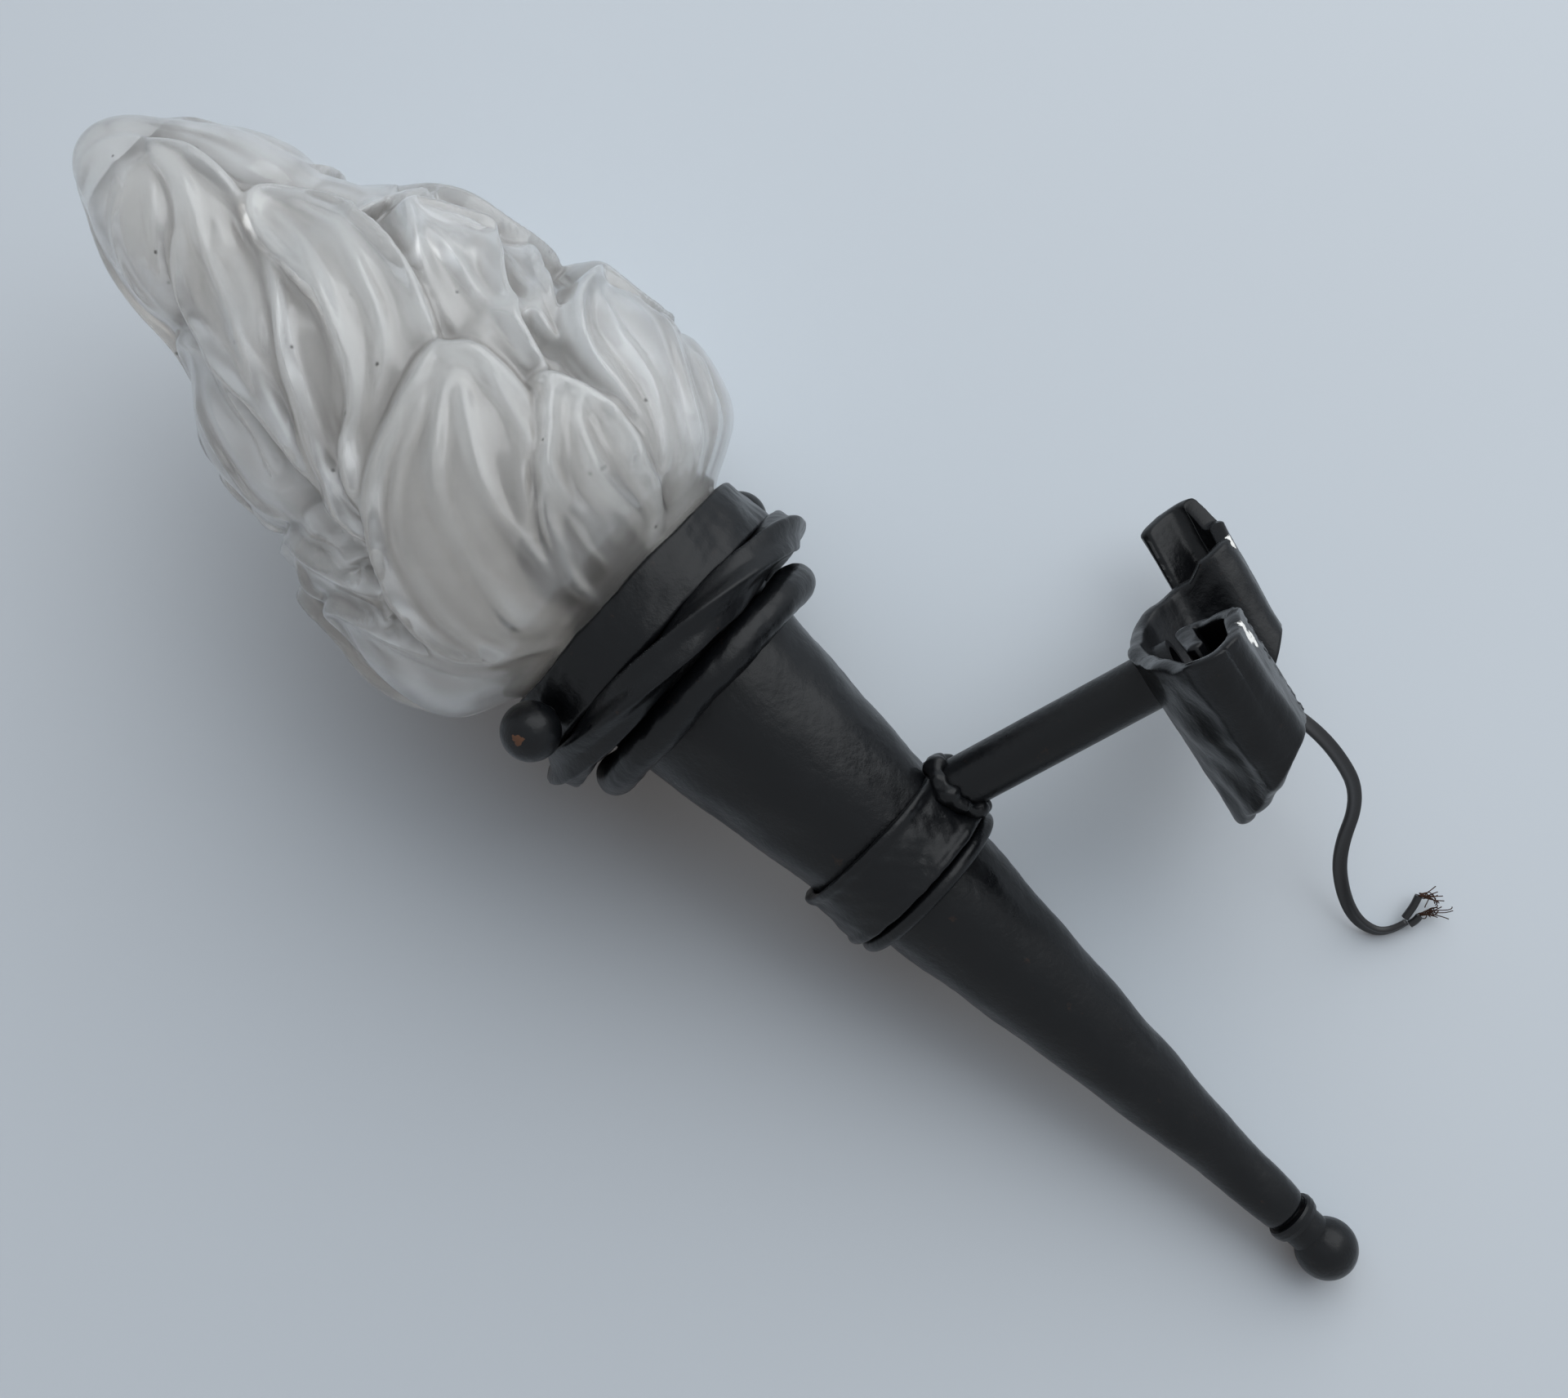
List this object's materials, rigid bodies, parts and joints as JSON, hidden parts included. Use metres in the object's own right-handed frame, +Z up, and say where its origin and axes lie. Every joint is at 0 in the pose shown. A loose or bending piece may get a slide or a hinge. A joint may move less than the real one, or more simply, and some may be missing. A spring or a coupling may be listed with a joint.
{
  "type": "torch wall sconce",
  "caption": "Wall sconce shaped as a torch: a tapered iron cone with bands and rings on a pipe arm and folded wall bracket, under a frosted glass flame held by ball-headed screws.",
  "frame": {"origin": "on the wall plane, where the arm's centre line meets it", "axes": "+Y into the wall along the level arm, +Z up, X along the wall; the room lies towards -Y"},
  "size_m": [0.1443, 0.2489, 0.5118],
  "materials": {
    "black_iron": "glossy black paint over forged iron",
    "weld": "glossy black paint over a weld bead",
    "frosted_glass": "satin frosted pressed glass",
    "bakelite": "moulded, satin",
    "brass": "plain",
    "flex_sheath": "dull black sheath",
    "copper": "dulled bare copper strands"
  },
  "bodies": {
    "frame": {"torch_cone": "black_iron", "finial_ball": "black_iron", "tip_weld": "weld", "gallery_band": "black_iron", "gallery_floor": "black_iron", "twisted_ring": "black_iron", "plain_ring": "black_iron", "middle_band": "black_iron", "wire_ring": "black_iron", "arm_tube": "black_iron", "root_weld": "weld", "bracket_strap": "black_iron", "flame_shade": "frosted_glass", "lampholder": "bakelite", "lamp_thread_shell": "brass", "centre_contact": "brass", "threaded_nipple": "brass", "nipple_washer": "brass", "nipple_nut": "brass", "inner_flex": "flex_sheath", "supply_flex": "flex_sheath", "flex_cores": "flex_sheath", "bare_strands": "copper"},
    "screw_near": {"shade_screw_near": "black_iron"},
    "screw_far": {"shade_screw_far": "black_iron"}
  },
  "joints": [
    {"name": "shade_screw_near_out", "type": "slide", "parent": "frame", "child": "screw_near", "axis": [0.8829, -0.4535, -0.1215], "range_m": [0, 0.005]},
    {"name": "shade_screw_far_out", "type": "slide", "parent": "frame", "child": "screw_far", "axis": [-0.8829, 0.4535, 0.1215], "range_m": [0, 0.005]}
  ]
}
